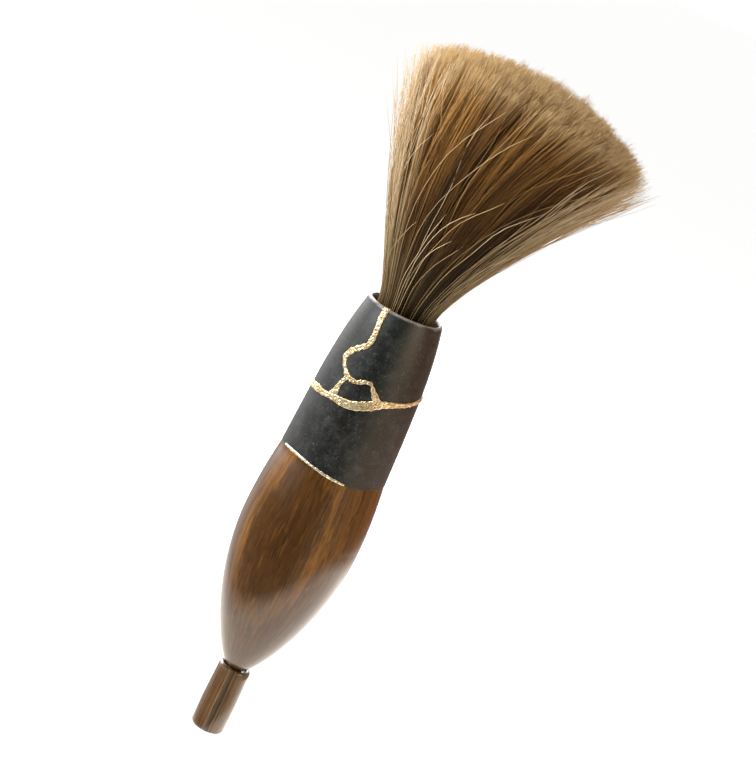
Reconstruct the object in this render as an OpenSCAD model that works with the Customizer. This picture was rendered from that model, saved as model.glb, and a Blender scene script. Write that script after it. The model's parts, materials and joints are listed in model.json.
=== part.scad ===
// Large calligraphy mop brush: an egg-shaped turned grip with a small end stub, a dark ceramic
// collar that was broken and mended with raised gold seams, and a flared tuft of animal hair.
// Z runs along the brush, hair up. The origin is the centre of the end stub's flat end.
// Angles round the brush are counted from the front, which is -Y, towards +X.

/* [Finial] */
// Length of the end stub
finial_len = 23.6; // [22:0.1:23.8]
// Radius of its straight stretch
finial_r = 5.8; // [5.2:0.1:6.5]
// Radius under its upper lip
finial_top_r = 5.5; // [5:0.1:5.8]
// Length of its straight stretch, measured from the end
finial_straight = 10; // [8:0.5:12]
// Depth of the dish round the neck
dish_depth = 1.6; // [1:0.1:2]
// Radius of the dowel, which shows as a short neck over the stub
dowel_r = 2.4; // [2:0.1:3]

/* [Grip] */
// Height of its blunt lower end
end_z = 24.4; // [24.2:0.1:26]
// Height of the point that its egg shape runs down to
tip_z = 20; // [19:0.1:20.5]
// Height of its widest place
widest_z = 75; // [70:1:80]
// Radius at its widest place
grip_r = 20; // [18:0.5:22]
// Radius where it meets the collar
shoulder_r = 18; // [17:0.1:18.1]
// Radius of the tenon inside the collar
tenon_r = 14.8; // [13:0.1:15]
// Length of the tenon
tenon_len = 14; // [10:0.5:16]

/* [Collar] */
// Height of the joint between grip and collar
joint_z = 100.5; // [99:0.5:102]
// Height of the collar over the joint
collar_h = 55; // [53:0.5:56]
// Outer radius at the joint
collar_r = 18.1; // [17.9:0.1:18.5]
// How far the wall leans in evenly over its height
collar_lean = 2.6; // [2:0.1:3]
// How far it curls in besides, mostly near the rim
collar_curl = 2.9; // [2:0.1:3.2]
// Wall thickness
wall = 1.5; // [1.2:0.1:1.6]

/* [Gold seams] */
// How far the seams stand out of the collar
seam_proud = 0.35; // [0.2:0.05:0.6]

/* [Tuft] */
// Radius of the tied hair inside the collar
root_r = 9.6; // [9:0.1:9.8]
// Length of hair inside the collar
root_len = 29.5; // [28:0.5:31]
// Height of the front-to-back bend over the rim
sway_up = 1.5; // [1:0.5:3]
// Height of the side-to-side bend over the rim
lean_up = 15.5; // [15:0.5:18]
// Lean of the loose tuft towards +X
lean = 10; // [0:1:12]
// Length of the tuft above the upper bend
tuft_len = 71.5; // [60:0.5:75]
// Radius of the tuft at the upper bend
tuft_r = 16.3; // [15:0.1:17]
// How much wider it grows for each millimetre of length
tuft_flare = 0.47; // [0.3:0.01:0.5]
// Share of the tuft's radius that the inner hairs fill
core_share = 0.55; // [0.4:0.05:0.7]

/* [Hidden] */
$fn = 96;

// Places along the seams, each [angle, height over the joint, width of the gold].
// The ring goes all the way round; its last place repeats the first one a turn later.
ring_path = [[-180, 27, 1.2], [-150, 24.5, 1.4], [-120, 22.3, 1.6], [-90, 21.5, 1.6],
    [-75, 21.8, 1.8], [-60, 22.4, 2.3], [-48, 22.3, 1.5], [-38, 22.9, 1.6], [-28, 23.3, 2.1],
    [-18, 23.2, 2.5], [-6, 24.1, 2.9], [6, 25.7, 3.2], [16, 27.2, 2.9], [24, 28.2, 2.1],
    [32, 28.8, 1.6], [45, 29.5, 1.3], [60, 30.4, 1.1], [75, 31.1, 1], [100, 31.6, 1.2],
    [135, 30, 1.3], [180, 27, 1.2]];
branch_path = [[-26, 57.5, 1.7], [-25.5, 51.5, 1.9], [-23, 47.9, 1.6], [-21.5, 45.1, 1.7],
    [-23, 42.5, 1.3], [-29, 41.1, 1.3], [-35, 39.5, 1.4], [-40.5, 37.7, 1.7], [-42.5, 35.7, 1.7],
    [-38.5, 33.9, 1.4], [-31, 31.9, 1.6], [-22, 30.8, 1.5], [-14, 31, 1], [-7, 32.2, 0.9],
    [0.5, 32.6, 0.9], [5, 31.1, 1.3], [10, 29.4, 2.2], [17, 27.5, 2.6]];
leg_path = [[-25.5, 31.5, 0.8], [-29.5, 29.5, 1.1], [-31.5, 27.5, 1.1], [-32, 25.5, 2],
    [-32.5, 23.5, 3.4]];
// Outline of the piece of wall that the branch, the leg and the ring close off,
// [angle, height over the joint]
chip_outline = [[-29.5, 30.5], [-32, 23.5], [-10, 23.5], [6, 25.5], [14, 28.5], [5, 31.5],
    [0.5, 32.6], [-7, 32.2], [-14, 31], [-22, 30.8]];
// Lower edge of the collar, [angle, height over the joint]: it is not quite straight
edge_path = [[-180, 0], [-120, 0.1], [-85, 0.4], [-60, 1], [-40, 1.1], [-20, 0.7], [0, -0.2],
    [15, -0.5], [30, -0.6], [50, 0.1], [75, 0.5], [120, 0.2], [180, 0]];
// The pale gold along the left of that edge, [angle, height over the joint, width]. It runs
// a little under the edge too, where it is cut off with the collar.
line_path = [[-62, 1, 0.7], [-52, 1.1, 1.2], [-38, 1.2, 1.3], [-24, 0.9, 1.1], [-10, 0.4, 1.1],
    [2, -0.1, 1.2], [12, -0.3, 1.1], [20, -0.5, 0.6]];

turn_steps = 48;        // places at which the curves round the collar are worked out
cutter_in = 9;          // inner radius of the cutting shapes, inside every wall that they cut
cutter_out = 24;        // outer radius of the cutting shapes, outside every wall
above_all = 64;         // a height over the joint that is clear of the collar's rim
inner_gap = 0.05;       // gap between the collar's inside and what is set in it
dowel_z = [9, 36];      // ends of the dowel
cement_up = [2, 12.5];  // heights of the cement over the joint
resin_floor = 2;        // thickness of the resin plug's floor, under the hair's tied end
resin_h = 16.5;         // height of the plug, and of the lip that closes on the hair
resin_lip = 3;
thread_r = 0.5;
thread_turns = 6;
thread_pitch = 1.15;
neck_r = [8, 9];        // radii of the hair between the bends, low and high
bend_room = 3;          // the loose tuft's solids start this far above the upper bend

rim_z = joint_z + collar_h;
sway_z = rim_z + sway_up;
lean_z = rim_z + lean_up;
root_top = sway_z - 3.5;             // the tied hair ends under the lower bend
root_z = rim_z - root_len;
neck_z = [sway_z + 2, lean_z - 5];   // clear of both neighbours at every angle
resin_z = [root_z - resin_floor, root_z - resin_floor + resin_h];

wood_brown = "#6e4a22";
stub_brown = "#7a5a3c";
dark_glaze = "#35363a";
gold = "#dcb964";
pale_gold = "#e8dcb4";
resin_amber = "#b08a40";
hair_brown = "#6a5030";
hair_tan = "#8c6c3e";

// Radius of the grip at a height: an egg below its widest place, a slow taper above it
function egg_r(z) = grip_r * pow(1 - pow((widest_z - z) / (widest_z - tip_z), 1.85), 0.77);
function upper_r(z) = grip_r - (grip_r - shoulder_r) * pow((z - widest_z) / (joint_z - widest_z), 2);

// Outer radius of the collar at a height over the joint
function collar_at(up) = collar_r - collar_lean * up / collar_h
    - collar_curl * pow(up / collar_h, 4);

// A point at an angle round the brush, and at a height over the joint
function around(a, r, up) = [r * sin(a), -r * cos(a), joint_z + up];

// Heights over the joint, at each step of the turn, of the curves that go all the way round
function turn_angle(i) = -180 + 360 * i / turn_steps;
function column(path, k) = [for (p = path) [p[0], p[k]]];
function ring_curve(side) = [for (i = [0 : turn_steps - 1]) let (a = turn_angle(i))
    lookup(a, column(ring_path, 1)) + side * lookup(a, column(ring_path, 2)) / 2];
function edge_curve() = [for (i = [0 : turn_steps - 1]) lookup(turn_angle(i), edge_path)];
function flat_curve(up) = [for (i = [0 : turn_steps - 1]) up];

// Triangles of a tube with four corners at each station, closed on itself or capped at both ends.
// The third side is cut along its other diagonal, so that the top of one band is the very
// surface that the next band stands on.
function tube_sides(n, closed) = [for (i = [0 : (closed ? n - 1 : n - 2)]) for (k = [0 : 3])
    let (a = 4 * i + k, b = 4 * i + (k + 1) % 4,
        c = 4 * ((i + 1) % n) + (k + 1) % 4, d = 4 * ((i + 1) % n) + k)
    each k == 2 ? [[a, b, d], [b, c, d]] : [[a, b, c], [a, c, d]]];
function tube_caps(n) = [[0, 2, 1], [0, 3, 2],
    [4 * n - 4, 4 * n - 3, 4 * n - 2], [4 * n - 4, 4 * n - 2, 4 * n - 1]];

// Everything between two closed curves round the brush's axis
module band(low, high) {
    polyhedron([for (i = [0 : turn_steps - 1]) let (a = turn_angle(i))
            each [around(a, cutter_in, low[i]), around(a, cutter_out, low[i]),
                around(a, cutter_out, high[i]), around(a, cutter_in, high[i])]],
        tube_sides(turn_steps, true), convexity = 10);
}

// Direction across a path on the collar's surface at its i-th place, [angle, height] per millimetre
function across(path, i) = let (
        p = path[max(i - 1, 0)], q = path[min(i + 1, len(path) - 1)],
        turn = collar_at(path[i][1]) * PI / 180,
        along = [(q[0] - p[0]) * turn, q[1] - p[1]],
        size = norm(along))
    [-along[1] / size / turn, along[0] / size];

// Everything within half a width of an open path on the collar's surface
module ribbon(path) {
    n = len(path);
    polyhedron([for (i = [0 : n - 1])
            let (p = path[i], d = across(path, i) * p[2] / 2,
                l = [p[0] + d[0], p[1] + d[1]], r = [p[0] - d[0], p[1] - d[1]])
            each [around(l[0], cutter_in, l[1]), around(r[0], cutter_in, r[1]),
                around(r[0], cutter_out, r[1]), around(l[0], cutter_out, l[1])]],
        concat(tube_sides(n, false), tube_caps(n)), convexity = 10);
}

// Everything inside a closed outline on the collar's surface, as a fan from its middle
module patch(outline) {
    n = len(outline);
    ones = [for (p = outline) 1 / n];
    middle = [ones * [for (p = outline) p[0]], ones * [for (p = outline) p[1]]];
    polyhedron([for (p = concat(outline, [middle]))
            each [around(p[0], cutter_in, p[1]), around(p[0], cutter_out, p[1])]],
        [for (i = [0 : n - 1]) let (j = (i + 1) % n)
            each [[2 * i, 2 * i + 1, 2 * j + 1], [2 * i, 2 * j + 1, 2 * j],
                [2 * i, 2 * j, 2 * n], [2 * j + 1, 2 * i + 1, 2 * n + 1]]],
        convexity = 10);
}

// The whole collar before it broke, with its wall thickened outwards by proud
module collar(proud = 0) {
    levels = 14;
    foot = -1;
    lip_h = 1.1;        // height over which the rim is rounded
    lip_in = 0.5;       // width of the rounding on the inside
    lip_step = 22.5;    // degrees between the corners of the rounding
    ups = [for (i = [0 : levels]) foot + (collar_h - lip_h - foot) * i / levels];
    crest = collar_at(ups[levels]) - wall + lip_in;
    lip_out = wall - lip_in + proud;
    translate([0, 0, joint_z]) rotate_extrude() polygon(concat(
        [for (up = ups) [collar_at(up) + proud, up]],
        [for (a = [lip_step : lip_step : 90])
            [crest + lip_out * cos(a), ups[levels] + (lip_h + proud / 2) * sin(a)]],
        [for (a = [90 - lip_step : -lip_step : lip_step])
            [crest - lip_in * cos(a), ups[levels] + (lip_h + proud / 2) * sin(a)]],
        [for (i = [levels : -1 : 0]) [collar_at(ups[i]) - wall, ups[i]]]));
}

// What fills the collar's inside from a given radius out, between two heights over the joint
module set_in_collar(r, low, high) {
    steps = 4;
    translate([0, 0, joint_z]) rotate_extrude() polygon(concat(
        [for (i = [0 : steps]) let (up = low + (high - low) * i / steps)
            [collar_at(up) - wall - inner_gap, up]],
        [[r, high], [r, low]]));
}

module dowel_hole(low, high) {
    translate([0, 0, low]) cylinder(r = dowel_r + inner_gap, h = high - low);
}

module handle_body() {
    egg_levels = 26;
    top_levels = 6;
    over_joint = 2;
    tenon_foot = 5;
    end_round = 0.4;
    low = end_z + end_round;
    outline = concat([[0, end_z], [egg_r(low) - end_round, end_z]],
        [for (i = [0 : egg_levels]) let (z = low + (widest_z - low) * pow(i / egg_levels, 1.4))
            [egg_r(z), z]],
        [for (i = [1 : top_levels]) let (z = widest_z + (joint_z - widest_z) * i / top_levels)
            [upper_r(z), z]],
        [[shoulder_r, joint_z + over_joint], [0, joint_z + over_joint]]);
    color(wood_brown) difference() {
        union() {
            difference() {
                rotate_extrude() polygon(outline);
                band(edge_curve(), flat_curve(2 * over_joint));
            }
            translate([0, 0, joint_z - tenon_foot]) cylinder(r = tenon_r, h = tenon_len + tenon_foot);
        }
        dowel_hole(end_z - 1, dowel_z[1] + 0.5);
    }
}

module finial() {
    foot_round = 1.1;
    lip = 0.9;
    lip_width = 1;
    color(stub_brown) difference() {
        rotate_extrude() polygon([[0, 0], [finial_r - foot_round, 0],
            [finial_r - 0.3 * foot_round, 0.3 * foot_round], [finial_r, foot_round],
            [finial_r, finial_straight],
            [finial_top_r, finial_len - lip], [finial_top_r - 0.3 * lip, finial_len - 0.3 * lip],
            [finial_top_r - lip, finial_len], [finial_top_r - lip - 0.4 * lip_width, finial_len - 0.1],
            [finial_top_r - lip - lip_width, finial_len - 0.7 * dish_depth],
            [finial_top_r - lip - 1.6 * lip_width, finial_len - dish_depth],
            [0, finial_len - dish_depth]]);
        dowel_hole(dowel_z[0] - 0.5, finial_len);
    }
}

module finial_dowel() {
    color(stub_brown) translate([0, 0, dowel_z[0]]) cylinder(r = dowel_r, h = dowel_z[1] - dowel_z[0]);
}

module ferrule_lower() {
    color(dark_glaze) difference() {
        intersection() {
            collar();
            band(edge_curve(), ring_curve(-1));
        }
        ribbon(line_path);
    }
}

module ferrule_upper() {
    color(dark_glaze) difference() {
        intersection() {
            collar();
            band(ring_curve(1), flat_curve(above_all));
        }
        ribbon(branch_path);
        ribbon(leg_path);
        patch(chip_outline);
    }
}

module ferrule_chip() {
    color(dark_glaze) difference() {
        intersection() {
            collar();
            band(ring_curve(1), flat_curve(above_all));
            patch(chip_outline);
        }
        ribbon(branch_path);
        ribbon(leg_path);
    }
}

module seam_ring() {
    color(gold) intersection() {
        collar(seam_proud);
        band(ring_curve(-1), ring_curve(1));
    }
}

module seam_branch() {
    color(gold) intersection() {
        collar(seam_proud);
        band(ring_curve(1), flat_curve(above_all));
        ribbon(branch_path);
    }
}

module seam_leg() {
    color(gold) difference() {
        intersection() {
            collar(seam_proud);
            band(ring_curve(1), flat_curve(above_all));
            ribbon(leg_path);
        }
        ribbon(branch_path);
    }
}

module joint_line() {
    color(pale_gold) intersection() {
        collar(seam_proud / 2);
        band(edge_curve(), ring_curve(-1));
        ribbon(line_path);
    }
}

module ferrule_cement() {
    color(resin_amber) set_in_collar(tenon_r, cement_up[0], cement_up[1]);
}

module root_resin() {
    thread_room = root_r + 2 * thread_r + 0.1;
    color(resin_amber) difference() {
        set_in_collar(0, resin_z[0] - joint_z, resin_z[1] - joint_z);
        translate([0, 0, root_z]) cylinder(r = thread_room, h = resin_h - resin_floor - resin_lip);
        translate([0, 0, root_z]) cylinder(r = root_r + inner_gap, h = resin_h);
    }
}

module root_binding() {
    color(pale_gold) for (i = [0 : thread_turns - 1])
        translate([0, 0, root_z + 2 + i * thread_pitch])
            rotate_extrude() translate([root_r + thread_r, 0]) circle(r = thread_r, $fn = 24);
}

module hair_root() {
    color(hair_brown) translate([0, 0, root_z]) cylinder(r = root_r, h = root_top - root_z);
}

module tuft_neck() {
    color(hair_brown) translate([0, 0, neck_z[0]])
        cylinder(r1 = neck_r[0], r2 = neck_r[1], h = neck_z[1] - neck_z[0]);
}

// Radius of a share of the tuft, a distance above the upper bend, and the angle from the tuft's
// own axis at which that share's side meets the dome of hair tips
function tuft_radius(up, share) = share * (tuft_r + tuft_flare * up);
function dome_angle(share) = let (f = share * tuft_flare, c = share * tuft_r, q = 1 + f * f,
        up = (-f * c + sqrt(f * f * c * c - q * (c * c - tuft_len * tuft_len))) / q)
    acos(up / tuft_len);

// The part of the tuft between two shares of its radius, standing on the upper bend
module tuft_layer(inner, outer) {
    steps = 8;
    span = dome_angle(inner) - dome_angle(outer);
    dome = [for (i = [0 : steps]) let (a = dome_angle(outer) + span * i / steps)
        tuft_len * [sin(a), cos(a)]];
    translate([0, 0, lean_z]) rotate([0, lean, 0]) rotate_extrude()
        polygon(concat([[tuft_radius(bend_room, inner), bend_room],
            [tuft_radius(bend_room, outer), bend_room]], dome));
}

module tuft_core() {
    color(hair_brown) tuft_layer(0, core_share);
}

module tuft_mantle() {
    color(hair_tan) tuft_layer(core_share, 1);
}

handle_body();
finial();
finial_dowel();
ferrule_lower();
ferrule_upper();
ferrule_chip();
seam_ring();
seam_branch();
seam_leg();
joint_line();
ferrule_cement();
root_resin();
root_binding();
hair_root();
tuft_neck();
tuft_core();
tuft_mantle();
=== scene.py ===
"""Looks of the large calligraphy mop brush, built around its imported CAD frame.

Everything is in metres in the part's own frame: +Z runs along the brush towards the hair, -Y is
the front, and the origin is the centre of the end stub's flat end. The hair and the gold seams
are built here as meshes. The wood, the ceramic collar and the hidden cement, resin and thread are
the CAD nodes with procedural materials.
"""

import json
import math

import bpy
import numpy as np
from mathutils import Matrix, Vector, noise


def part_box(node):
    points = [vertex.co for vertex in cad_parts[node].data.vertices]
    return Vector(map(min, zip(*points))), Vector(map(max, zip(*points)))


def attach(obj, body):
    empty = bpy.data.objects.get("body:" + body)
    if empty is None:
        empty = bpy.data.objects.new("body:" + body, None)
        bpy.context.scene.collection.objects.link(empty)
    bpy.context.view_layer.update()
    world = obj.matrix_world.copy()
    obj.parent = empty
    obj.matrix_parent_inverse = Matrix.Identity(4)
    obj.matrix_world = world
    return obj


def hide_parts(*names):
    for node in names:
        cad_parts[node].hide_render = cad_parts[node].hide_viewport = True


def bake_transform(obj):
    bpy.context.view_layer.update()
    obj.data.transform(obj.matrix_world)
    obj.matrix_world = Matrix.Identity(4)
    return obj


MM = 0.001

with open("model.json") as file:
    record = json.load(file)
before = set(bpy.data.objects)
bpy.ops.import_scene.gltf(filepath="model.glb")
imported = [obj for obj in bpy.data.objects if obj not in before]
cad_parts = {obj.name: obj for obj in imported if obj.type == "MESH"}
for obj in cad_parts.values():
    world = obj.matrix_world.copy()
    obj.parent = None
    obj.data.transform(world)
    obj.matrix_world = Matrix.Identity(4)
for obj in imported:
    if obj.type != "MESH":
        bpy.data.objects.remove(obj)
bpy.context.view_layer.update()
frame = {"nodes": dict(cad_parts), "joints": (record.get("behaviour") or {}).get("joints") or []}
nodes = frame["nodes"]
joints = {j["name"]: j for j in frame["joints"]}

# Heights that the hair hangs on; the painted highlight along the collar's rim uses RIM_Z too
RIM_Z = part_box("ferrule_upper")[1].z
ROOT_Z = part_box("hair_root")[0].z
SWAY_Z = joints["tuft_sway"]["pos_m"][2]
LEAN_Z = joints["tuft_lean"]["pos_m"][2]


# ---------------------------------------------------------------- node helpers


class Nodes:
    """A node tree whose nodes are added and linked by short calls."""

    def __init__(self, tree):
        self.tree = tree

    def node(self, kind, inputs=None, **settings):
        """Adds a node, sets its properties, and links or sets its inputs."""
        made = self.tree.nodes.new("ShaderNode" + kind)
        for name, value in settings.items():
            setattr(made, name, value)
        for name, value in (inputs or {}).items():
            self.put(made.inputs[name], value)
        return made

    def put(self, socket, value):
        """Links a socket to another node's output, or sets its value."""
        if isinstance(value, bpy.types.NodeSocket):
            self.tree.links.new(value, socket)
        else:
            socket.default_value = value

    def object_space(self, scale=(1, 1, 1)):
        """Position in the part's frame, in metres, stretched by a scale."""
        place = self.node("TexCoord").outputs["Object"]
        return self.node("Mapping", {"Vector": place, "Scale": scale}).outputs["Vector"]

    def noise(self, vector, scale, detail=3.0, roughness=0.5):
        """Noise from 0 to 1, with about as many features in a metre as scale says."""
        return self.node(
            "TexNoise",
            {"Vector": vector, "Scale": scale, "Detail": detail, "Roughness": roughness},
        ).outputs["Fac"]

    def ramp(self, fac, *stops):
        """A colour ramp; each stop is a position and a colour, or a position and a grey."""
        made = self.node("ValToRGB", {"Fac": fac})
        ramp = made.color_ramp
        while len(ramp.elements) < len(stops):
            ramp.elements.new(0.5)
        for element, (position, colour) in zip(ramp.elements, stops):
            element.position = position
            rgb = colour if isinstance(colour, tuple) else (colour,) * 3
            element.color = (*rgb, 1)
        return made.outputs["Color"]

    def math(self, operation, a, b=0.0):
        """The result of an operation on one number or two."""
        made = self.node("Math", operation=operation)
        self.put(made.inputs[0], a)
        self.put(made.inputs[1], b)
        return made.outputs[0]

    def vector(self, operation, a, b):
        """The node that combines two vectors by an operation."""
        made = self.node("VectorMath", operation=operation)
        self.put(made.inputs[0], a)
        self.put(made.inputs[1], b)
        return made

    def mix(self, fac, a, b, blend="MIX"):
        """Two colours mixed; fac is the share of the second one."""
        made = self.node("Mix", data_type="RGBA", blend_type=blend)
        self.put(made.inputs["Factor"], fac)
        self.put(made.inputs["A"], a if not isinstance(a, tuple) else (*a, 1))
        self.put(made.inputs["B"], b if not isinstance(b, tuple) else (*b, 1))
        return made.outputs["Result"]

    def dot(self, vector, direction):
        """How far a vector reaches along a direction."""
        return self.vector("DOT_PRODUCT", vector, direction).outputs["Value"]

    def noise_along(self, value, scale, detail=2.0):
        """Noise that changes with one number only."""
        return self.node(
            "TexNoise", {"W": value, "Scale": scale, "Detail": detail}, noise_dimensions="1D"
        ).outputs["Fac"]

    def span(self, value, low, high, to_low=0.0, to_high=1.0):
        """A value's place between low and high, held to those ends."""
        return self.node(
            "MapRange",
            {"Value": value, "From Min": low, "From Max": high,
             "To Min": to_low, "To Max": to_high},
        ).outputs["Result"]


class Shader(Nodes):
    """A material's nodes, and its surface."""

    def __init__(self, name):
        self.material = bpy.data.materials.new(name)
        self.material.use_nodes = True
        super().__init__(self.material.node_tree)
        self.surface = self.tree.nodes["Principled BSDF"]

    def set(self, **inputs):
        """Sets the surface's sockets; an underscore in a name stands for a space."""
        for name, value in inputs.items():
            self.put(self.surface.inputs[name.replace("_", " ")], value)

    def bump(self, height, distance, strength):
        """Bumps the surface by a height from 0 to 1, a distance in metres deep."""
        made = self.node("Bump", {"Height": height, "Distance": distance, "Strength": strength})
        self.put(self.surface.inputs["Normal"], made.outputs["Normal"])


# ---------------------------------------------------------------- hair

HAIR_SEED = 20
HAIR_COUNT = 15000
PIECE_TRIANGLES = 190000     # most triangles in one piece of hair
HAIR_SIDES = 3
HAIR_RADIUS = 0.10 * MM
FEW_COUNT = 1800             # groups of a few hairs that stick together
LOCK_COUNT = 480             # locks that the groups gather into
LOOSE_COUNT = 620            # pale hairs that stand off, mostly at the two sides; their paleness is partly painted glow of light through them
CROSSING_COUNT = 38          # loose pale hairs that lie across the others
BUNDLE_ROOT = 0.95           # how far out the dense hair reaches, of the tuft's radius, at the
BUNDLE_TIP = 0.89            # roots and at the tips; loose hair takes the rest
HIGH_STEPS = 10              # stretches of each hair above the split
ROOT_RADIUS = 9.5 * MM       # of the tied bundle
SPREAD_Z = RIM_Z - 0.5 * MM  # where the hair begins to spread
SPREAD_EASE = 6 * MM         # how gently it begins
SPREAD_SLOPE = 0.505         # how much wider the tuft grows for each metre of height
SWEEP = 13.3 * MM            # how far the tuft's middle is swept towards +X
SWEEP_HEIGHT = 74 * MM       # over this height
SWEEP_POWER = 1.9
DOME = (68.6 * MM, 2.5 * MM, 4.2 * MM)  # reach of the tips from the upper bend, straight up,
# and how it changes with the angle towards +X in radians and with that angle's square
DOME_DEPTH = 0.55            # weight of y squared in a tip's reach; 1 would make a round dome
HALVINGS = 24                # steps of the search for a tip's height
SPLIT_Z = (SWAY_Z + LEAN_Z) / 2 - 1 * MM  # between the two bends
BEND_ROOM = 6 * MM           # half the height about the collar's mouth listed for the lower bend
BEND_REACH = 22 * MM         # how far above the upper hinge the span listed for the upper bend ends
TONES = 64                   # shades of hair, each with its own column of the UV map
# Mean tone of the hair across the tuft, from -X to +X: golden at the left edge, darkest right of
# the middle, pale at the right edge. The paler tone at the two edges is partly painted light, the
# glow of light shining through the thin hair at the tuft's sides
TONE_AND_GLOW_ACROSS = (
    (-1, -0.65, -0.35, 0, 0.5, 0.8, 0.93, 1),
    (0.64, 0.36, 0.19, 0.11, 0.05, 0.10, 0.75, 1.0),
)
# How much hairs differ: each by itself, by its group of a few, and by its lock
TIP_STRAY = {"own": 0.012, "few": 0.04, "lock": 0.035}       # of the tuft's radius
LENGTH_VARIES = {"own": 0.016, "few": 0.007, "lock": 0.005}  # as a share of the length
WAVE_WIDTH = {"own": 0.005, "few": 0.016, "lock": 0.022}     # of the tuft's radius
PHASE_VARIES = {"own": 0.3, "few": 0.8}                      # radians
TONE_VARIES = {"own": 0.05, "few": 0.12, "lock": 0.08}
FEW_WIDTH = 0.022            # of a group at its roots, of the tuft's radius
FEW_KEPT = 0.75              # how much of that width is left at the tips
LOCK_PULL = 0.22             # how far the tips of a group go towards the middle of its lock
WILD_SHARE = 0.03            # of hairs that stray further, wave more and are paler
WILD_STRAY = 0.12
WILD_WAVE = 2.5              # times as wide as other waves
PALE_SHARE = 0.025           # of other hairs that are as pale as the wild ones
PALER = 0.3                  # by this much tone
SHORT_SHARE = 0.08           # of broken hairs
SHORT_BY = 0.22              # as a share of the length, at most
OUTER_KEPT = 0.35            # how much of a stray beyond the tuft's radius is kept
# Loose hairs; widths and distances are shares of the tuft's radius
LOOSE_ROOT = (0.90, 0.99)    # how far out they stand at their roots
LOOSE_SIDES = (0, 0, math.pi)  # angles from +X of the sides where they stand
SIDE_SPREAD = 0.36           # radians by which they stray from those angles
LOOSE_OUT = 0.085            # how far their tips stray outwards
FARTHEST_OUT = 1.12
LOOSE_SHORTER = 0.11         # as a share of the length
LOOSE_TURN = 0.05            # radians round the tuft
LOOSE_GLOW_TONE = (0.80, 0.12)    # mean and spread; pale, partly as painted glow of light through the loose hair
LOOSE_WAVE = 0.045
# Those of them that lie across the others
CROSSING_OUT = (0.07, 0.04)  # how far outside the dense tips, at least, and how much more
CROSSING_LENGTH = (0.35, 0.98)
CROSSING_TURN = (0.2, 0.7)   # radians round the tuft
CROSSING_WAYS = (-0.5, 1, 1, 1, 1)  # most turn one way; the others turn half as far
CROSSING_TONE = (0.62, 0.9)
# Thickness, as shares of HAIR_RADIUS: the range in the bundle, of loose and of crossing hairs
THICKNESS = {"bundle": (0.85, 1.2), "loose": (0.8, 1.1), "crossing": (0.95, 1.2)}
TAPER = ((0, 0.85, 0.97, 1), (1, 0.95, 0.75, 0.4))  # shares of the length and of the thickness
# Course of a hair
WAVE_TURNS = (5.5, 13)       # radians of its slow wave and its quick one, root to tip
QUICK_WAVE = 0.4             # width of the quick wave, of the slow one's
QUICK_PHASE = 2.3            # its phase, of the slow one's
SPREAD_LATE = 1.15           # power by which it goes from its root's place to its tip's
RIM_STEP = 4 * MM            # it has points this far below and above the rim


def middle_x(z):
    """How far the tuft's middle is swept towards +X at a height."""
    s = np.clip((z - SWAY_Z) / SWEEP_HEIGHT, 0, None)
    return SWEEP * s**SWEEP_POWER


def half_width(z):
    """Radius of the tuft at a height."""
    h = np.clip(z - SPREAD_Z, 0, None)
    return ROOT_RADIUS + SPREAD_SLOPE * h * h / (h + SPREAD_EASE)


def dome_over(x, y, z):
    """How far a point is outside the dome of hair tips."""
    over = z - LEAN_Z
    angle = np.arctan2(x, over)
    reach = np.sqrt(x * x + DOME_DEPTH * y * y + over * over)
    return reach - np.polynomial.polynomial.polyval(angle, DOME)


def tip_height(u, v):
    """Height at which hairs at places u, v of the round bundle reach the dome, by bisection."""
    low = np.full(len(u), SWAY_Z)
    high = np.full(len(u), LEAN_Z + 1.2 * DOME[0])
    for _ in range(HALVINGS):
        z = (low + high) / 2
        w = half_width(z)
        outside = dome_over(middle_x(z) + u * w, v * w, z) > 0
        high = np.where(outside, z, high)
        low = np.where(outside, low, z)
    return (low + high) / 2


def disc(rng, count):
    """Random places spread evenly over a disc of radius 1."""
    r, a = np.sqrt(rng.random(count)), rng.random(count) * 2 * math.pi
    return np.stack([r * np.cos(a), r * np.sin(a)], 1)


def nearest(places, centres):
    """Index of the nearest centre to each place."""
    gap = places[:, None, :] - centres[None, :, :]
    return (gap**2).sum(2).argmin(1)


def spread(rng, count, size):
    """Random steps in two directions, one pair for each of count."""
    return rng.normal(0, size, (count, 2))


def round_places(angle, radius):
    """Places at angles round the bundle and at shares of its radius."""
    return np.stack([np.cos(angle), np.sin(angle)], -1) * radius[..., None]


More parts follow.
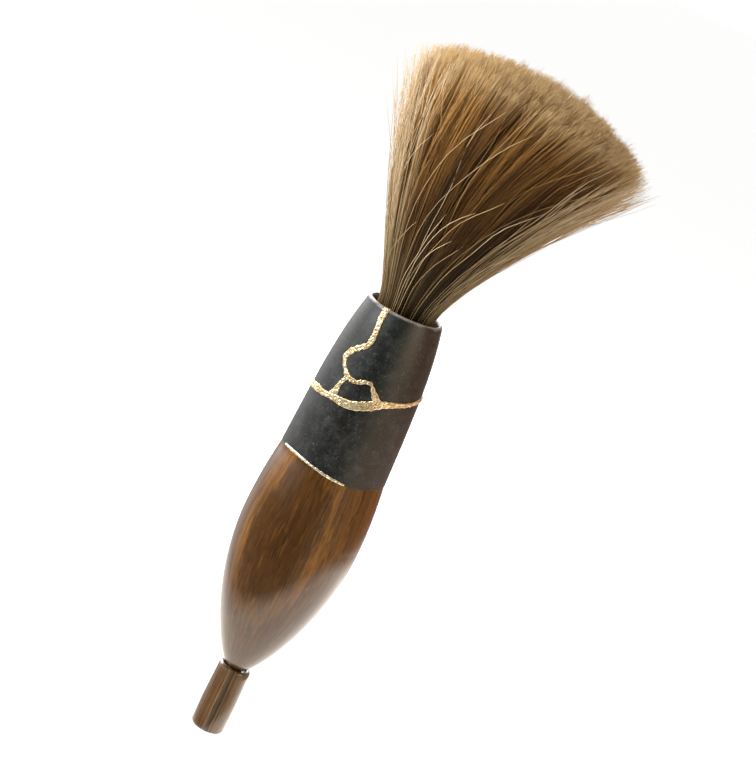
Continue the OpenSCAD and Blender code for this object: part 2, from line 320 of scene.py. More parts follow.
def bundle_hairs(rng):
    """The dense hair: each hair's place at its root and at its tip, its length as a share of the
    way to the dome, its wave and the wave's phase, its tone and its thickness."""
    n = HAIR_COUNT
    # Hairs stand in groups of a few, which gather into locks towards the tips
    few, lock = disc(rng, FEW_COUNT), disc(rng, LOCK_COUNT)
    few_of = rng.integers(0, FEW_COUNT, n)
    lock_of_few = nearest(few, lock)
    lock_of = lock_of_few[few_of]
    home = few[few_of] + spread(rng, n, FEW_WIDTH)
    home /= np.maximum(1, np.linalg.norm(home, axis=1))[:, None]

    few_tip = few + LOCK_PULL * (lock[lock_of_few] - few)
    few_tip += spread(rng, FEW_COUNT, TIP_STRAY["few"])
    few_tip += spread(rng, LOCK_COUNT, TIP_STRAY["lock"])[lock_of_few]
    tip = few_tip[few_of] + FEW_KEPT * (home - few[few_of]) + spread(rng, n, TIP_STRAY["own"])
    wild = rng.random(n) < WILD_SHARE
    tip[wild] += spread(rng, wild.sum(), WILD_STRAY)
    reach = np.linalg.norm(tip, axis=1)
    tip *= (np.where(reach > 1, 1 + OUTER_KEPT * (reach - 1), reach) / reach)[:, None]

    length = 1 - np.abs(rng.normal(0, LENGTH_VARIES["own"], n))
    length += rng.normal(0, LENGTH_VARIES["few"], FEW_COUNT)[few_of]
    length += rng.normal(0, LENGTH_VARIES["lock"], LOCK_COUNT)[lock_of]
    short = rng.random(n) < SHORT_SHARE
    length[short] -= rng.random(short.sum()) * SHORT_BY
    wave = spread(rng, FEW_COUNT, WAVE_WIDTH["few"])[few_of]
    wave += spread(rng, LOCK_COUNT, WAVE_WIDTH["lock"])[lock_of]
    wave += spread(rng, n, WAVE_WIDTH["own"])
    wave[wild] *= WILD_WAVE
    phase = rng.random((LOCK_COUNT, 2))[lock_of] * 2 * math.pi
    phase += spread(rng, FEW_COUNT, PHASE_VARIES["few"])[few_of]
    phase += spread(rng, n, PHASE_VARIES["own"])
    tone = np.interp(home[:, 0], *TONE_AND_GLOW_ACROSS)
    tone += rng.normal(0, TONE_VARIES["few"], FEW_COUNT)[few_of]
    tone += rng.normal(0, TONE_VARIES["lock"], LOCK_COUNT)[lock_of]
    tone += rng.normal(0, TONE_VARIES["own"], n)
    tone[(rng.random(n) < PALE_SHARE) | wild] += PALER
    radius = HAIR_RADIUS * rng.uniform(*THICKNESS["bundle"], n)
    return BUNDLE_ROOT * home, BUNDLE_TIP * tip, length, wave, phase, tone, radius


def loose_hairs(rng):
    """The hairs that stand off, mostly at the tuft's two sides, pale partly as painted glow of
    light through them, and after them those that lie across it in arcs. It returns what
    bundle_hairs returns, and how far each one turns round the tuft."""
    n = LOOSE_COUNT + CROSSING_COUNT
    m = CROSSING_COUNT
    crossing = slice(LOOSE_COUNT, None)
    angle = rng.choice(LOOSE_SIDES, n) + rng.normal(0, SIDE_SPREAD, n)
    angle[crossing] = rng.random(m) * 2 * math.pi
    home = round_places(angle, rng.uniform(*LOOSE_ROOT, n))
    home[crossing] /= np.linalg.norm(home[crossing], axis=1)[:, None]
    out = BUNDLE_TIP + np.abs(rng.normal(0, LOOSE_OUT, n))
    length = 1 - np.abs(rng.normal(0, LOOSE_SHORTER, n))
    turn = rng.normal(0, LOOSE_TURN, n)
    # Pale tones, partly painted glow of light shining through the loose hair
    tone = rng.normal(*LOOSE_GLOW_TONE, n)
    radius = HAIR_RADIUS * rng.uniform(*THICKNESS["loose"], n)
    out[crossing] = BUNDLE_TIP + CROSSING_OUT[0] + CROSSING_OUT[1] * rng.random(m)
    length[crossing] = rng.uniform(*CROSSING_LENGTH, m)
    turn[crossing] = rng.choice(CROSSING_WAYS, m) * rng.uniform(*CROSSING_TURN, m)
    tone[crossing] = rng.uniform(*CROSSING_TONE, m)
    radius[crossing] = HAIR_RADIUS * rng.uniform(*THICKNESS["crossing"], m)
    wave, phase = spread(rng, n, LOOSE_WAVE), rng.random((n, 2)) * 2 * math.pi
    tip = round_places(angle, np.minimum(out, FARTHEST_OUT))
    return home, tip, length, wave, phase, tone, radius, turn


def grow_hair():
    """Every hair's centre line as (hairs, points, 3), its share of length at each point, its
    radius there, and its tone from 0 (dark) through 0.5 (golden) to 1 (pale)."""
    rng = np.random.default_rng(HAIR_SEED)
    bundle = bundle_hairs(rng)
    *loose, turn = loose_hairs(rng)
    home, tip, length, wave, phase, tone, radius = (
        np.concatenate(pair) for pair in zip(bundle, loose)
    )
    turn = np.concatenate([np.zeros(HAIR_COUNT), turn])
    n = len(home)
    top = SWAY_Z + (tip_height(*tip.T) - SWAY_Z) * length

    # Heights of each hair's points: the tied root, three about the rim, the split between the
    # bends, then evenly to the tip
    low_z = np.array([ROOT_Z, RIM_Z - RIM_STEP, RIM_Z, RIM_Z + RIM_STEP, SPLIT_Z])
    high_share = np.linspace(0, 1, HIGH_STEPS + 1)[1:]
    z = np.concatenate(
        [np.tile(low_z, (n, 1)), SPLIT_Z + (top - SPLIT_Z)[:, None] * high_share], axis=1
    )
    t = np.clip((z - SWAY_Z) / (top - SWAY_Z)[:, None], 0, 1)[:, :, None]
    slow, quick = WAVE_TURNS
    place = (
        home[:, None, :] * (1 - t**SPREAD_LATE)
        + tip[:, None, :] * t**SPREAD_LATE
        + wave[:, None, :] * np.sin(phase[:, None, :] + slow * t) * t
        + QUICK_WAVE * wave[:, None, ::-1] * np.sin(QUICK_PHASE * phase[:, None, :] + quick * t) * t
    )
    bend = turn[:, None] * t[:, :, 0] ** 2
    cos, sin = np.cos(bend), np.sin(bend)
    x = place[:, :, 0] * cos - place[:, :, 1] * sin
    y = place[:, :, 0] * sin + place[:, :, 1] * cos
    w = half_width(z)
    points = np.stack([middle_x(z) + x * w, y * w, z], 2)
    share = np.clip((z - ROOT_Z) / (top - ROOT_Z)[:, None], 0, 1)
    radius = radius[:, None] * np.interp(t[:, :, 0], *TAPER)
    return points, share, radius, np.clip(tone, 0, 0.999)


def tube_mesh(name, points, share, radius, tone, capped):
    """One mesh of thin tapered tubes. Its UV map gives each tone a column, and runs along
    the hair, so hairs of one tone share a place in it."""
    n, m, _ = points.shape
    sides = HAIR_SIDES
    along = np.gradient(points, axis=1)
    along /= np.linalg.norm(along, axis=2, keepdims=True)
    first = np.cross(along, [0.0, 1.0, 0.0])
    first /= np.linalg.norm(first, axis=2, keepdims=True)
    second = np.cross(along, first)
    turn = 2 * math.pi * np.arange(sides) / sides
    across = first[:, :, None, :] * np.cos(turn)[:, None]
    across = across + second[:, :, None, :] * np.sin(turn)[:, None]
    verts = (points[:, :, None, :] + radius[:, :, None, None] * across).reshape(-1, 3)

    # A quad for each side of each stretch of each hair, and each corner's place in the UV map
    hair, step, side = np.meshgrid(np.arange(n), np.arange(m - 1), np.arange(sides), indexing="ij")
    nxt = (side + 1) % sides
    base = (hair * m + step) * sides
    quads = np.stack([base + side, base + nxt, base + sides + nxt, base + sides + side], -1)
    quads = quads.reshape(-1, 4)
    column = np.floor(tone * TONES)[:, None, None] / TONES
    u0 = np.broadcast_to(column + side / (sides * TONES), side.shape)
    u1 = np.broadcast_to(column + (side + 1) / (sides * TONES), side.shape)
    v0 = np.broadcast_to(share[:, :-1, None], side.shape)
    v1 = np.broadcast_to(share[:, 1:, None], side.shape)
    uv = np.stack([np.stack(c, -1) for c in ((u0, v0), (u1, v0), (u1, v1), (u0, v1))], -2)

    mesh = bpy.data.meshes.new(name)
    mesh.vertices.add(len(verts))
    mesh.vertices.foreach_set("co", verts.astype(np.float32).ravel())
    faces = [quads.ravel()]
    starts = [np.arange(len(quads)) * 4]
    uvs = [uv.reshape(-1, 2)]
    if capped:  # a flat face on each tip
        ends = (np.arange(n) * m + m - 1)[:, None] * sides + np.arange(sides)
        faces.append(ends.ravel())
        starts.append(len(quads) * 4 + np.arange(n) * sides)
        uvs.append(np.repeat(np.stack([column.ravel() + 0.5 / TONES, share[:, -1]], 1), sides, 0))
    loops = np.concatenate(faces)
    mesh.loops.add(len(loops))
    mesh.loops.foreach_set("vertex_index", loops.astype(np.int32))
    start = np.concatenate(starts)
    mesh.polygons.add(len(start))
    mesh.polygons.foreach_set("loop_start", start.astype(np.int32))
    mesh.polygons.foreach_set("use_smooth", np.ones(len(start), bool))
    layer = mesh.uv_layers.new(name="OFBake")
    layer.data.foreach_set("uv", np.concatenate(uvs).astype(np.float32).ravel())
    mesh.update(calc_edges=True)
    piece = bpy.data.objects.new(name, mesh)
    bpy.context.scene.collection.objects.link(piece)
    return piece


def hair_material():
    """Animal hair: dark olive, golden and pale hairs, each lighter towards the tip; the dark hairs
    turn pale in their last few hundredths as a painted glow of light through the tips.
    """
    s = Shader("hair")
    place = s.node("SeparateXYZ", {"Vector": s.node("UVMap", uv_map="OFBake").outputs["UV"]})
    tone, along = place.outputs["X"], place.outputs["Y"]
    # The dark ramp's stops past 0.92 are painted light: the glow of light shining through the thin
    # tips
    dark = s.ramp(along, (0.2, (0.014, 0.0112, 0.0045)), (0.45, (0.029, 0.018, 0.0062)),
                  (0.62, (0.036, 0.0170, 0.0045)), (0.78, (0.060, 0.0265, 0.0065)),
                  (0.92, (0.125, 0.056, 0.015)), (0.98, (0.31, 0.185, 0.075)),
                  (1, (0.55, 0.40, 0.21)))
    golden = s.ramp(along, (0.2, (0.055, 0.034, 0.012)), (0.45, (0.105, 0.050, 0.011)),
                    (0.62, (0.18, 0.078, 0.014)), (0.78, (0.32, 0.145, 0.028)),
                    (0.92, (0.46, 0.225, 0.052)), (1, (0.72, 0.48, 0.21)))
    pale = s.ramp(along, (0.2, (0.16, 0.115, 0.055)), (0.45, (0.46, 0.345, 0.185)),
                  (0.7, (0.64, 0.50, 0.30)), (1, (0.85, 0.72, 0.50)))
    colour = s.mix(s.span(tone, 0.0, 0.5), dark, golden)
    s.set(Base_Color=s.mix(s.span(tone, 0.5, 1.0), colour, pale), Roughness=0.45,
          Specular_IOR_Level=0.16)
    return s.material


def make_hair():
    """The whole tuft, each hair in two lengths that meet between the bends."""
    points, share, radius, tone = grow_hair()
    material = hair_material()
    split = int(np.argmax(np.isclose(points[0, :, 2], SPLIT_Z)))
    lengths = [
        ("hair_low", slice(0, split + 1), ("handle", "neck"),
         SWAY_Z - BEND_ROOM, SWAY_Z + BEND_ROOM, False),
        ("hair_high", slice(split, None), ("neck", "tuft"), SPLIT_Z, LEAN_Z + BEND_REACH, True),
    ]
    for name, part, bodies, bend_from, bend_to, capped in lengths:
        steps = len(range(*part.indices(points.shape[1]))) - 1
        per_piece = PIECE_TRIANGLES // (steps * HAIR_SIDES * 2 + capped)
        count = math.ceil(len(points) / per_piece)
        for i in range(count):
            pick = slice(i, None, count)
            piece = tube_mesh(f"{name}_{i + 1}", points[pick, part], share[pick, part],
                              radius[pick, part], tone[pick], capped)
            piece.data.materials.append(material)
            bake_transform(piece)
    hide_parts("hair_root", "tuft_neck")
    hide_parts("tuft_core", "tuft_mantle")


make_hair()


# ---------------------------------------------------------------- wood


GRAIN_R = 18 * MM  # radius at which the fibres have their true width


def along_surface(s, stretch):
    """Coordinates for fibres that follow a turned surface: a place's direction from the axis,
    and its height, which is shortened so that noise is drawn out along Z."""
    flat = s.vector("MULTIPLY", s.object_space(), (1, 1, 0)).outputs["Vector"]
    unit = s.node("VectorMath", {"Vector": flat}, operation="NORMALIZE").outputs["Vector"]
    ring = s.vector("MULTIPLY", unit, (GRAIN_R,) * 3).outputs["Vector"]
    return s.vector("ADD", ring, s.object_space((0, 0, stretch))).outputs["Vector"]


def wood(name, sheet_direction, warp_depth, streaked, pore_share, roughness):
    """Lacquered wood. Growth sheets are layers across sheet_direction, so a turned shape cuts
    them in nested ovals; they are warped by up to warp_depth and drawn out into streaks by up to
    streaked. Fibres and pores run along the shape. Returns the shader, how far each place is
    along sheet_direction, and a function that lays streaks, fibres and pores over a colour."""
    s = Shader(name)
    warp = s.noise(s.object_space((1, 1, 0.22)), 90, detail=3)
    fibre = s.noise(along_surface(s, 0.07), 1700, detail=4, roughness=0.65)
    streak = s.noise(along_surface(s, 0.13), 620, detail=4, roughness=0.65)
    pore = s.span(s.noise(along_surface(s, 0.05), 3000, detail=1.5), 0.60, 0.70)
    sheet = s.dot(s.object_space(), sheet_direction)
    sheet = s.math("ADD", sheet, s.span(warp, 0, 1, -warp_depth, warp_depth))
    sheet = s.math("ADD", sheet, s.span(fibre, 0.2, 0.8, -0.3 * MM, 0.3 * MM))
    sheet = s.math("ADD", sheet, s.span(streak, 0.3, 0.7, -streaked, streaked))

    def fibred(colour):
        """A colour with streaks, fibres and pores laid over it."""
        colour = s.mix(s.span(streak, 0.48, 0.78, 0, 0.38), colour, (0.25, 0.10, 0.012))
        colour = s.mix(s.span(fibre, 0.38, 0.62, 0.45, 0), colour, (0.022, 0.009, 0.003))
        return s.mix(s.math("MULTIPLY", pore, pore_share), colour, (0.010, 0.005, 0.003))

    s.bump(s.math("SUBTRACT", 1.0, pore), 0.02 * MM, 0.5)
    s.set(Roughness=s.span(fibre, 0.3, 0.7, roughness - 0.06, roughness + 0.06),
          Coat_Weight=1.0, Coat_Roughness=0.03, IOR=1.5, Specular_IOR_Level=0.15)
    return s, sheet, fibred


def grip_material():
    """Brown and gold in uneven growth sheets, with a dark heart at the front and a golden
    border round it, and painted darker towards the grip's lower end as shade."""
    s, sheet, fibred = wood("lacquered_wood", (-0.26, -0.96, 0.0), 1.6 * MM, 1.5 * MM,
                            0.65, 0.32)
    bands = s.noise_along(sheet, 420, detail=3)
    colour = s.ramp(bands, (0.32, (0.055, 0.021, 0.004)), (0.45, (0.105, 0.041, 0.005)),
                    (0.55, (0.165, 0.066, 0.008)), (0.70, (0.120, 0.047, 0.006)))
    heart = s.span(sheet, 15.6 * MM, 17.6 * MM, 0, 0.72)
    border = s.math("MULTIPLY", s.span(sheet, 12.0 * MM, 15.0 * MM),
                    s.span(sheet, 15.8 * MM, 17.2 * MM, 1, 0))
    colour = s.mix(s.math("MULTIPLY", border, 0.5), colour, (0.30, 0.115, 0.012))
    colour = s.mix(heart, colour, (0.055, 0.021, 0.003))
    height = s.node("SeparateXYZ", {"Vector": s.object_space()}).outputs["Z"]
    # Painted shade: the wood is darkened towards the grip's lower end
    colour = s.mix(s.span(height, 72 * MM, 44 * MM, 0, 0.75), colour, (0.050, 0.024, 0.008))
    s.set(Base_Color=fibred(colour))
    return s.material


def stub_material():
    """Straight stripes along the stub: dark and tan, with a thin pale line beside a wider
    grey one."""
    s, sheet, fibred = wood("stub_wood", (0.985, 0.17, 0.0), 0.22 * MM, 0.15 * MM, 0.5, 0.3)
    bands = s.noise_along(sheet, 700, detail=3)
    colour = s.ramp(bands, (0.32, (0.018, 0.011, 0.007)), (0.43, (0.075, 0.038, 0.016)),
                    (0.50, (0.17, 0.085, 0.034)), (0.56, (0.055, 0.030, 0.014)),
                    (0.68, (0.22, 0.130, 0.062)))
    colour = s.mix(s.span(sheet, 1.0 * MM, 3.4 * MM, 0, 0.5), colour, (0.27, 0.175, 0.105))
    for middle, half, share, line in (
        (-0.9 * MM, 0.75 * MM, 0.5, (0.10, 0.088, 0.058)),
        (-1.9 * MM, 0.22 * MM, 0.45, (0.36, 0.29, 0.20)),
    ):
        away = s.math("ABSOLUTE", s.math("SUBTRACT", sheet, middle))
        colour = s.mix(s.span(away, 0.5 * half, half, share, 0), colour, line)
    s.set(Base_Color=fibred(colour))
    return s.material


# ---------------------------------------------------------------- ceramic


def glaze_material():
    """Charcoal satin glaze, faintly mottled and speckled, with a pale painted highlight along the
    rim.
    """
    s = Shader("dark_glaze")
    place = s.object_space()
    mottle = s.noise(place, 240, detail=6, roughness=0.68)
    tint = s.noise(place, 55, detail=2)
    base = s.ramp(mottle, (0.3, (0.0035, 0.0040, 0.0030)), (0.5, (0.0070, 0.0082, 0.0062)),
                  (0.70, (0.026, 0.030, 0.028)))
    tinted = s.ramp(tint, (0.35, (0.75, 1.0, 0.92)), (0.5, (1.0, 1.0, 1.0)),
                    (0.65, (1.25, 0.92, 0.88)))
    colour = s.mix(0.8, base, tinted, "MULTIPLY")
    speckle = s.span(s.noise(place, 1500, detail=2), 0.60, 0.76)
    colour = s.mix(s.math("MULTIPLY", speckle, 0.6), colour, (0.085, 0.095, 0.105))
    height = s.node("SeparateXYZ", {"Vector": place}).outputs["Z"]
    # Painted highlight: a pale band along the top of the rim, its lower edge made ragged by the
    # mottle
    ragged_height = s.math("ADD", height, s.span(mottle, 0.3, 0.7, -0.35 * MM, 0.35 * MM))
    rim_highlight = s.span(ragged_height, RIM_Z - 0.8 * MM, RIM_Z - 0.1 * MM)
    colour = s.mix(s.math("MULTIPLY", rim_highlight, 0.85), colour, (0.36, 0.30, 0.27))
    # The inner wall is bare clay, painted lighter than it is to stand in for light in the shade
    # there.
    # There the surface faces the axis, and outward is minus its distance from the axis, in metres
    outward = s.dot(s.node("NewGeometry").outputs["Normal"], s.object_space((1, 1, 0)))
    pale_inner_wall = s.span(outward, -3 * MM, -6 * MM)
    colour = s.mix(pale_inner_wall, colour, (0.50, 0.47, 0.41))
    turning = s.noise(s.object_space((0.06, 0.06, 1)), 2600, detail=2)
    rough = s.math("ADD", s.span(mottle, 0.3, 0.7, 0.34, 0.48),
                   s.span(turning, 0.3, 0.7, -0.05, 0.05))
    relief = s.math("ADD", s.math("MULTIPLY", mottle, 0.6), s.math("MULTIPLY", turning, 0.4))
    s.bump(relief, 0.06 * MM, 0.6)
    s.set(Base_Color=colour, Roughness=rough, IOR=1.5, Specular_IOR_Level=0.8)
    return s.material


# ---------------------------------------------------------------- gold seams

RELIEF_SCALE = 100            # the remesher works on a mesh this much bigger
RELIEF_VOXEL = 0.14 * MM
BEAD_SIZE = 1.15 * MM         # of the beads that the gold was laid down in
BEAD_HEIGHT = 0.30 * MM
BEAD_LEVEL = (0.22, 0.5)      # of a bead's edge, taken off its height, and its flattened top
GRAIN_SIZE = 0.42 * MM
GRAIN_HEIGHT = 0.10 * MM
RELIEF_GROW = 0.10 * MM       # how far the gold laps over the edges of the shards


def remeshed(mesh, voxel):
    """A copy of a mesh as one even skin."""
    big = mesh.copy()
    big.transform(Matrix.Scale(RELIEF_SCALE, 4))
    holder = bpy.data.objects.new("holder", big)
    bpy.context.scene.collection.objects.link(holder)
    remesh = holder.modifiers.new("remesh", "REMESH")
    remesh.mode = "VOXEL"
    remesh.voxel_size = voxel * RELIEF_SCALE
    smooth = holder.modifiers.new("smooth", "SMOOTH")
    smooth.iterations = 3
    graph = bpy.context.evaluated_depsgraph_get()
    made = bpy.data.meshes.new_from_object(holder.evaluated_get(graph))
    made.transform(Matrix.Scale(1 / RELIEF_SCALE, 4))
    bpy.data.objects.remove(holder)
    return made


def bead_height(point):
    """Height of the hammered gold at a place: beads about a millimetre across, and a fine grain."""
    near = noise.voronoi(point / BEAD_SIZE)[0]
    edge, top = BEAD_LEVEL
    bead = min(near[1] - near[0], top) - edge
    grain = noise.noise(point / GRAIN_SIZE)
    return BEAD_HEIGHT * bead + GRAIN_HEIGHT * grain


def gold_seam(name, node, material):
    """A raised seam of gold in the place of its CAD node."""
    mesh = remeshed(nodes[node].data, RELIEF_VOXEL)
    place = np.zeros(len(mesh.vertices) * 3)
    normal = np.zeros(len(mesh.vertices) * 3)
    mesh.vertices.foreach_get("co", place)
    mesh.vertex_normals.foreach_get("vector", normal)
    place, normal = place.reshape(-1, 3), normal.reshape(-1, 3)
    height = np.array([bead_height(Vector(p)) for p in place]) + RELIEF_GROW
    mesh.vertices.foreach_set("co", (place + normal * height[:, None]).ravel())
    mesh.shade_smooth()
    mesh.materials.clear()
    mesh.materials.append(material)
    piece = bpy.data.objects.new(name, mesh)
    bpy.context.scene.collection.objects.link(piece)
    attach(piece, "handle")
    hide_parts(node)


def gold_material(name, bright, deep):
    """Hammered gold in brighter and deeper patches, with fine dark specks."""
    s = Shader(name)
    place = s.object_space()
    patch = s.noise(place, 420, detail=4, roughness=0.6)
    fine = s.noise(place, 2400, detail=3, roughness=0.6)
    colour = s.ramp(patch, (0.36, deep), (0.56, bright))
    dirt = s.span(fine, 0.56, 0.72, 0, 0.6)
    s.set(Base_Color=s.mix(dirt, colour, (0.16, 0.10, 0.04)),
          Roughness=s.span(fine, 0.3, 0.7, 0.28, 0.5), Metallic=0.85)
    s.bump(fine, 0.05 * MM, 0.7)
    return s.material


# ---------------------------------------------------------------- what is hidden inside


def filler_material(name, low, high, roughness, grain):
    """A poured filler: two tones of it, with a fine uneven surface."""
    s = Shader(name)
    place = s.object_space()
    cloud = s.noise(place, grain, detail=4)
    s.bump(s.noise(place, grain * 6, detail=2), 0.05 * MM, 0.5)
    s.set(Base_Color=s.ramp(cloud, (0.35, low), (0.65, high)),
          Roughness=s.span(cloud, 0.3, 0.7, roughness - 0.08, roughness + 0.08))
    return s.material


def thread_material():
    """Waxed thread, with slanted bands for its twist."""
    s = Shader("thread")
    twist = s.node("TexWave", {"Vector": s.object_space((1, 1, 2.5)), "Scale": 900,
                               "Distortion": 2.0, "Detail": 2.0}, bands_direction="DIAGONAL")
    fac = twist.outputs["Fac"]
    s.set(Base_Color=s.ramp(fac, (0.1, (0.22, 0.16, 0.09)), (0.8, (0.52, 0.43, 0.28))),
          Roughness=0.75)
    s.bump(fac, 0.08 * MM, 0.8)
    return s.material


SMOOTH_BELOW = math.radians(24)  # edges that fold less than this are shaded smooth
MERGE_WITHIN = 0.002 * MM        # corners closer than this are one corner


def smooth_shading():
    """A node group that joins a mesh's faces again and shades its shallow edges smooth."""
    group = bpy.data.node_groups.new("smooth_shading", "GeometryNodeTree")
    for way in ("INPUT", "OUTPUT"):
        group.interface.new_socket("Geometry", in_out=way, socket_type="NodeSocketGeometry")
    made = {}
    for kind in ("NodeGroupInput", "GeometryNodeMergeByDistance", "GeometryNodeRemoveAttribute",
                 "GeometryNodeSetShadeSmooth", "NodeGroupOutput"):
        node = group.nodes.new(kind)
        if made:
            group.links.new(made[list(made)[-1]].outputs[0], node.inputs[0])
        made[kind] = node
    made["GeometryNodeMergeByDistance"].inputs["Distance"].default_value = MERGE_WITHIN
    made["GeometryNodeRemoveAttribute"].inputs["Name"].default_value = "custom_normal"
    shade = made["GeometryNodeSetShadeSmooth"]
    shade.domain = "EDGE"
    angle = group.nodes.new("GeometryNodeInputMeshEdgeAngle")
    shallow = group.nodes.new("FunctionNodeCompare")
    shallow.operation = "LESS_THAN"
    group.links.new(angle.outputs["Unsigned Angle"], shallow.inputs["A"])
    shallow.inputs["B"].default_value = SMOOTH_BELOW
    group.links.new(shallow.outputs["Result"], shade.inputs["Shade Smooth"])
    return group


SMOOTHER = smooth_shading()


def paint(material, *names):
    """Gives a material to CAD nodes, and shades them smooth."""
    for name in names:
        mesh = nodes[name].data
        for i in range(len(mesh.materials)):
            mesh.materials[i] = material
        nodes[name].modifiers.new("smooth", "NODES").node_group = SMOOTHER


def dress_frame():
    """Materials for the CAD nodes that stay, and hammered gold in place of the seams' nodes."""
    paint(grip_material(), "handle_body")
    paint(stub_material(), "finial", "finial_dowel")
    paint(glaze_material(), "ferrule_lower", "ferrule_upper", "ferrule_chip")
    paint(filler_material("cement", (0.30, 0.22, 0.12), (0.55, 0.45, 0.30), 0.7, 300),
          "ferrule_cement")
    paint(filler_material("resin", (0.20, 0.11, 0.03), (0.42, 0.27, 0.09), 0.2, 120),
          "root_resin")
    paint(thread_material(), "root_binding")
    gold = gold_material("gold_lacquer", (0.95, 0.81, 0.52), (0.66, 0.47, 0.22))
    pale = gold_material("pale_gold", (0.98, 0.92, 0.76), (0.80, 0.68, 0.46))
    for part in ("ring", "branch", "leg"):
        gold_seam(f"gold_{part}", f"seam_{part}", gold)
    gold_seam("gold_line", "joint_line", pale)


dress_frame()


# ---------------------------------------------------------------- floor, light and camera

CAM_AIM = Vector((1.35 * MM, 0, 131.5 * MM))
CAM_DISTANCE = 0.65
CAM_ELEVATION = math.radians(13.5)
CAM_ROLL = math.radians(25.7)
CAM_LENS = 98.0        # mm
CAM_SENSOR = 36.0      # mm wide
FLOOR_Z = -50 * MM
FLOOR_HALF = 30.0


def make_camera():
    """The photograph's camera: in front, looking slightly down, and rolled so the brush leans."""
    data = bpy.data.cameras.new("camera")
    data.sensor_fit = "HORIZONTAL"
    data.sensor_width = CAM_SENSOR
    data.lens = CAM_LENS
    camera = bpy.data.objects.new("camera", data)
    bpy.context.scene.collection.objects.link(camera)
    forward = Vector((0, math.cos(CAM_ELEVATION), -math.sin(CAM_ELEVATION)))
    level_right = Vector((1, 0, 0))
    level_up = level_right.cross(forward)
    right = math.cos(CAM_ROLL) * level_right + math.sin(CAM_ROLL) * level_up
    up = -math.sin(CAM_ROLL) * level_right + math.cos(CAM_ROLL) * level_up
    turn = Matrix((right, up, -forward)).transposed()
    camera.matrix_world = Matrix.Translation(CAM_AIM - forward * CAM_DISTANCE) @ turn.to_4x4()
    bpy.context.scene.camera = camera


def make_floor():
    """A wide, pale, glowing floor that no reflection shows."""
    mesh = bpy.data.meshes.new("floor")
    corners = [(x * FLOOR_HALF, y * FLOOR_HALF, 0) for x, y in ((-1, -1), (1, -1), (1, 1), (-1, 1))]
    mesh.from_pydata(corners, [], [(0, 1, 2, 3)])
    floor = bpy.data.objects.new("floor", mesh)
    floor.location.z = FLOOR_Z
    bpy.context.scene.collection.objects.link(floor)
    s = Shader("floor")
    s.set(Base_Color=(0.9, 0.9, 0.89, 1), Roughness=0.9, Emission_Color=(1, 1, 1, 1),
          Emission_Strength=0.62)
    floor.data.materials.append(s.material)
    floor.visible_glossy = False


def area_light(name, place, aim, size, power, colour=(1, 1, 1)):
    """A soft rectangular light that points at a place."""
    data = bpy.data.lights.new(name, "AREA")
    data.shape = "RECTANGLE"
    data.size, data.size_y = size
    data.energy = power
    data.color = colour
    light = bpy.data.objects.new(name, data)
    light.location = place
    light.rotation_mode = "QUATERNION"
    light.rotation_quaternion = (Vector(aim) - Vector(place)).to_track_quat("-Z", "Y")
    bpy.context.scene.collection.objects.link(light)


EVEN_LIGHT = 0.36                  # soft light from all round
BACKDROP_LIGHT = 1.05              # what the camera sees behind the floor
ROOM_LIGHT = 2.6                   # brightness of the rings where their tone is 1
RING_SPLIT = (-0.22, -0.08)        # heights of view between which the low ring gives way
CARD_LIGHT = (2.05, 1.92, 1.75)
CARD_WAY = (0.221, 0.230, -0.948)  # towards the pale card under the brush
CARD_EDGE = (0.44, 0.60)           # its soft edge, as cosines of the angle from that way
CARD_TOP = (-0.27, -0.38)          # heights of view between which it fades in


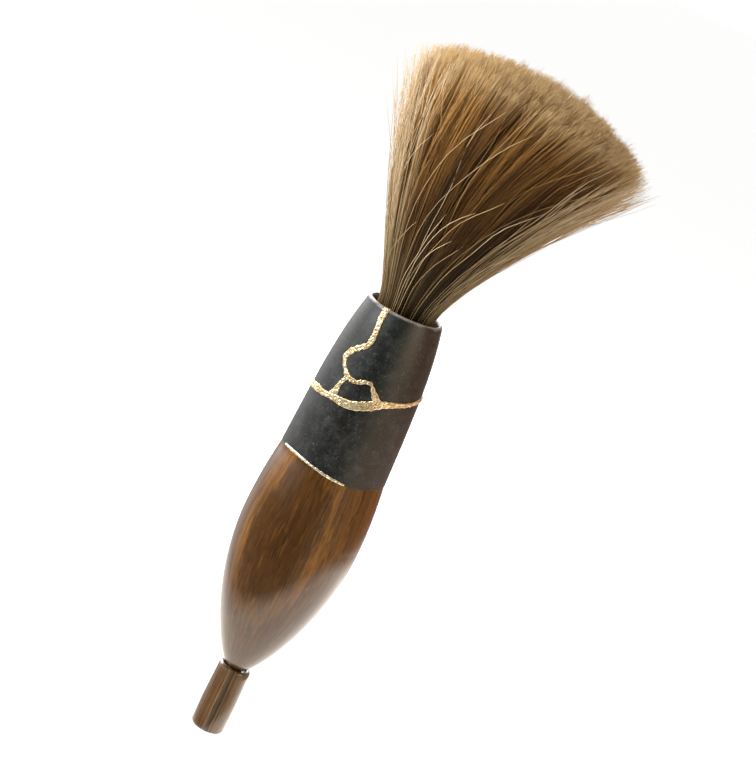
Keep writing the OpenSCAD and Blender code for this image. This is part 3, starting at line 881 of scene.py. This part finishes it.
def make_world():
    """A white backdrop for the camera, an even soft light, and for reflections a room: two
    rings of tone round the brush, one from about level upwards and one below that, and a pale
    card under it. The rings are bright behind the brush at its left, dark in front, and brown
    at its right."""
    world = bpy.data.worlds.new("world")
    bpy.context.scene.world = world
    world.use_nodes = True
    s = Nodes(world.node_tree)
    background = s.tree.nodes["Background"]
    ray = s.node("LightPath")
    way = s.node("TexCoord").outputs["Generated"]
    split = s.node("SeparateXYZ", {"Vector": way})
    card = s.math("MULTIPLY", s.span(s.dot(way, CARD_WAY), *CARD_EDGE),
                  s.span(split.outputs["Z"], *CARD_TOP))
    # 0 is behind the brush, 0.25 its left, 0.75 its right and 0.5 where the viewer stands
    turn = s.math("ARCTAN2", s.math("MULTIPLY", split.outputs["X"], -1), split.outputs["Y"])
    turn = s.math("FRACT", s.math("DIVIDE", turn, 2 * math.pi))
    high = s.ramp(turn, (0, 0.44), (0.06, 0.44), (0.12, 1.0), (0.17, 0.85), (0.25, 0.40),
                  (0.33, 0.27), (0.42, 0.02), (0.53, 0.02), (0.61, (0.22, 0.20, 0.15)),
                  (0.68, (0.25, 0.15, 0.08)), (0.78, (0.17, 0.07, 0.03)),
                  (0.90, (0.10, 0.06, 0.04)), (0.96, 0.44))
    low = s.ramp(turn, (0, 0.18), (0.06, 0.15), (0.12, 0.26), (0.17, 0.20), (0.25, 0.05),
                 (0.33, 0.02), (0.44, 0.01), (0.53, 0.01), (0.60, (0.20, 0.17, 0.12)),
                 (0.68, (0.27, 0.17, 0.09)), (0.75, (0.18, 0.07, 0.03)),
                 (0.88, (0.10, 0.03, 0.01)), (0.96, (0.12, 0.09, 0.08)))
    room = s.mix(s.span(split.outputs["Z"], *RING_SPLIT), low, high)
    room = s.mix(1.0, room, (ROOM_LIGHT,) * 3, "MULTIPLY")
    room = s.mix(card, room, CARD_LIGHT)
    light = s.mix(ray.outputs["Is Glossy Ray"], (EVEN_LIGHT,) * 3, room)
    light = s.mix(ray.outputs["Is Camera Ray"], light, (BACKDROP_LIGHT,) * 3)
    s.put(background.inputs["Color"], light)


make_camera()
make_floor()
make_world()
# Each light's place, aim and size in metres, its power in watts, and its colour
area_light("key", (-0.95, -0.4, 0.75), (0, 0, 0.15), (0.5, 0.5), 15)
area_light("fill", (0.85, -0.55, 0.5), (0, 0, 0.12), (0.6, 0.6), 2.2, (1, 0.78, 0.58))
area_light("back", (-0.3, 0.8, 0.5), (0, 0, 0.18), (0.7, 0.5), 8)
bpy.context.scene.view_settings.view_transform = "Standard"
